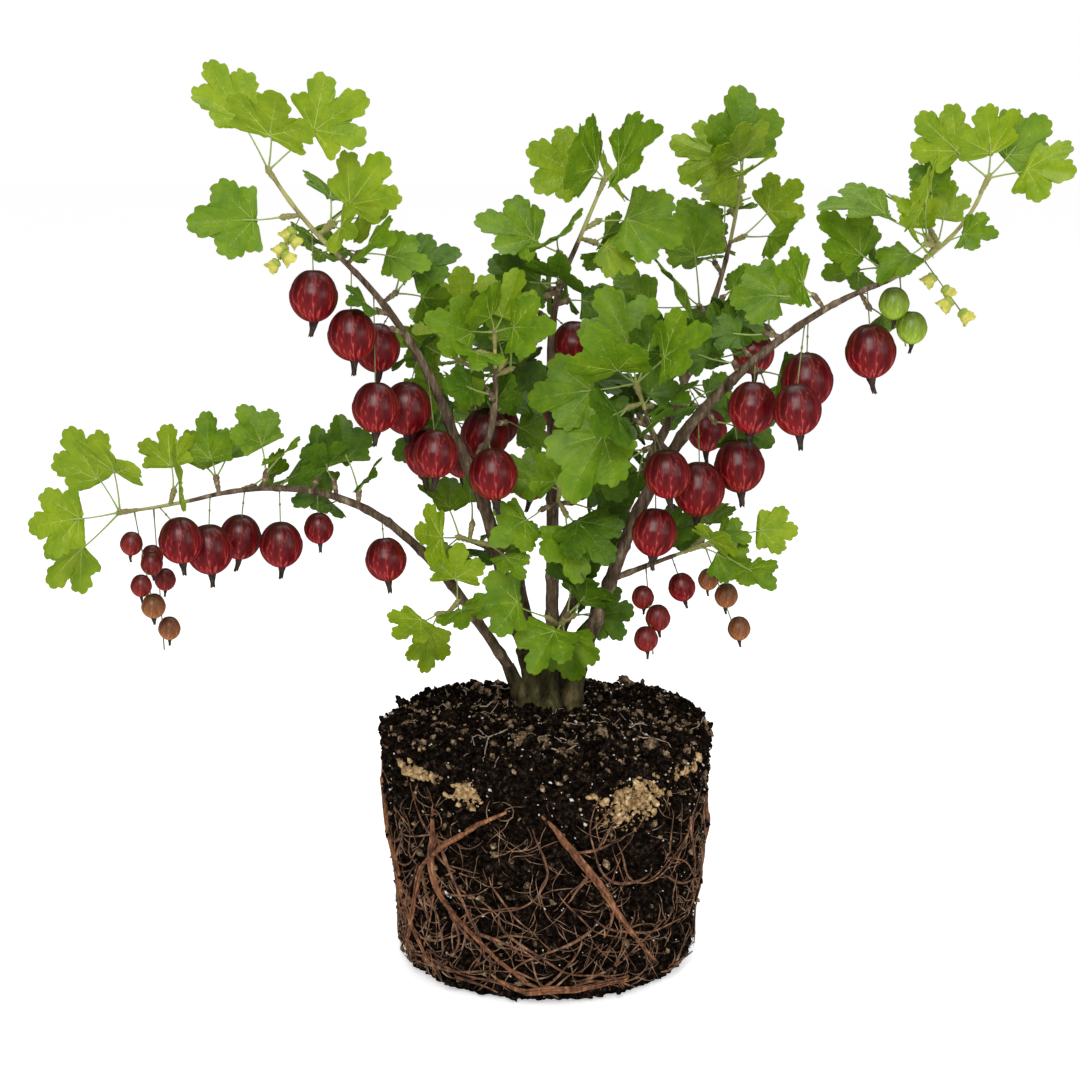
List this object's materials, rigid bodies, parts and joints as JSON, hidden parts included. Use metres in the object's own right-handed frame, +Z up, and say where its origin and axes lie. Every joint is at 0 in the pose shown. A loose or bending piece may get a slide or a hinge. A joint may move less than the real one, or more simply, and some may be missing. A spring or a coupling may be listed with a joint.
{
  "type": "gooseberry bush",
  "caption": "Fruiting gooseberry bush on a bare root ball: arching woody boughs, lobed leaves and hanging striped berries.",
  "frame": {"origin": "centre of the root ball's flat underside, on the surface the plant stands on", "axes": "+Z up, +X to the viewer's right along the bush's greatest spread, -Y towards the viewer of the picture"},
  "size_m": [0.4935, 0.2165, 0.4353],
  "materials": {
    "compost": "matt, crumbly",
    "bark": "matt, peeling",
    "foliage": "satin"
  },
  "bodies": {
    "root": {"root_ball": "compost", "stump": "bark", "low_left_bough": "bark", "upper_left_bough": "bark", "centre_bough": "bark", "right_bough": "bark", "back_right_bough": "bark", "back_left_bough": "bark", "low_left_foliage": "foliage", "upper_left_foliage": "foliage", "left_middle_foliage": "foliage", "inner_left_foliage": "foliage", "centre_foliage": "foliage", "inner_centre_foliage": "foliage", "upper_right_foliage": "foliage", "right_middle_foliage": "foliage", "right_foliage": "foliage", "low_right_foliage": "foliage", "back_left_foliage": "foliage", "foot_foliage": "foliage", "low_twig_foliage": "foliage"}
  },
  "joints": []
}
